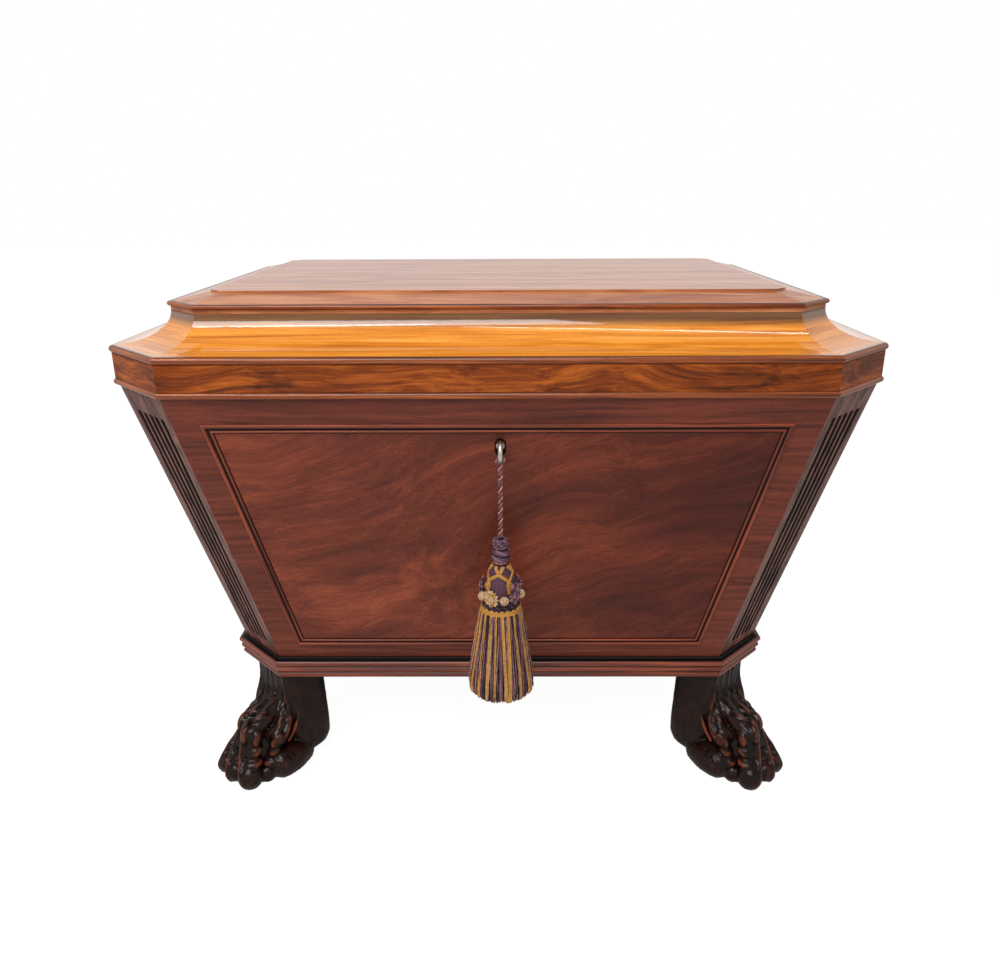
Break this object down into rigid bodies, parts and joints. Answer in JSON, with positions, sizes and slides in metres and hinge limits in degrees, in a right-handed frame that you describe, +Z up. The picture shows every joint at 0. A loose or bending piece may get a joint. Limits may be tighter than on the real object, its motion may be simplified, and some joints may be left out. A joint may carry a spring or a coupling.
{
  "type": "cellarette",
  "caption": "Free-standing mahogany bottle chest of tapering sarcophagus form with canted fluted corners, carved paw feet, a hinged stepped lid, a lock with a turning key, and a hanging tassel.",
  "frame": {"origin": "on the floor under the centre of the lid", "axes": "+X to the right along the front, +Y from the front with the lock to the back with the hinges, +Z up"},
  "size_m": [0.8, 0.6296, 0.588],
  "materials": {
    "mahogany": "french polished, semi-gloss",
    "carved_mahogany": "carved, dark polish worn on the knuckles",
    "secondary_timber": "planed, unpolished",
    "lead": "dull sheet with a grey bloom",
    "brass": "old, lightly tarnished",
    "steel": "handled bright",
    "passementerie": "twisted and wrapped silk"
  },
  "bodies": {
    "case": {"front_board": "mahogany", "right_board": "mahogany", "back_board": "mahogany", "left_board": "mahogany", "corner_post_front_right": "mahogany", "corner_post_back_right": "mahogany", "corner_post_back_left": "mahogany", "corner_post_front_left": "mahogany", "bottom_board": "secondary_timber", "base_board": "secondary_timber", "base_moulding_front": "mahogany", "base_moulding_back": "mahogany", "base_moulding_ends": "mahogany", "base_moulding_corners": "mahogany", "field_moulding_front": "mahogany", "field_moulding_ends": "mahogany", "lead_lining": "lead", "divisions_cross": "secondary_timber", "divisions_long": "secondary_timber", "paw_foot_front_right": "carved_mahogany", "paw_foot_back_right": "carved_mahogany", "paw_foot_back_left": "carved_mahogany", "paw_foot_front_left": "carved_mahogany", "foot_screws": "steel", "hinge_leaves_lower": "brass", "hinge_screws_lower": "brass", "lock_case": "brass", "lock_cap": "brass", "lock_selvedge": "brass", "selvedge_screws": "brass", "escutcheon": "brass", "hinge_pins": "steel"},
    "lid": {"lid_frieze_front": "mahogany", "lid_frieze_right": "mahogany", "lid_frieze_back": "mahogany", "lid_frieze_left": "mahogany", "lid_frieze_corners": "mahogany", "lid_cove_front": "mahogany", "lid_cove_right": "mahogany", "lid_cove_back": "mahogany", "lid_cove_left": "mahogany", "lid_cove_corners": "mahogany", "lid_lower_bead": "mahogany", "lid_rim_bead": "mahogany", "lid_top_bead": "mahogany", "lid_top_board": "mahogany", "lid_raised_panel": "mahogany", "hinge_leaves_upper": "brass", "hinge_screws_upper": "brass", "link_plate": "brass", "link_screws": "brass"},
    "key": {"key": "steel"},
    "lock_bolt": {"lock_bolt": "steel"},
    "cord": {"cord": "passementerie"},
    "tassel": {"tassel_knot": "passementerie", "tassel_collar": "passementerie", "tassel_head": "passementerie", "tassel_rosettes": "passementerie", "tassel_skirt": "passementerie"}
  },
  "joints": [
    {"name": "lid_hinge", "type": "hinge", "parent": "case", "child": "lid", "pos_m": [0, 0.2975, 0.4953], "axis": [-1, 0, 0], "range_deg": [0, 100]},
    {"name": "key_turn", "type": "hinge", "parent": "case", "child": "key", "pos_m": [0.003, -0.27507, 0.447], "axis": [0, 0.9732, 0.2298], "range_deg": [0, 360]},
    {"name": "bolt_slide", "type": "slide", "parent": "case", "child": "lock_bolt", "axis": [1, 0, 0], "range_m": [0, 0.009]},
    {"name": "cord_swing", "type": "hinge", "parent": "case", "child": "cord", "pos_m": [0.003, -0.29161, 0.44309], "axis": [-1, 0, 0], "range_deg": [-4, 30]},
    {"name": "tassel_swing", "type": "hinge", "parent": "cord", "child": "tassel", "pos_m": [0.003, -0.29161, 0.35329], "axis": [-1, 0, 0], "range_deg": [-4, 25]}
  ],
  "couplings": [
    {"joint": "key_turn", "follows": "bolt_slide", "rad_per_m": 698.13}
  ]
}
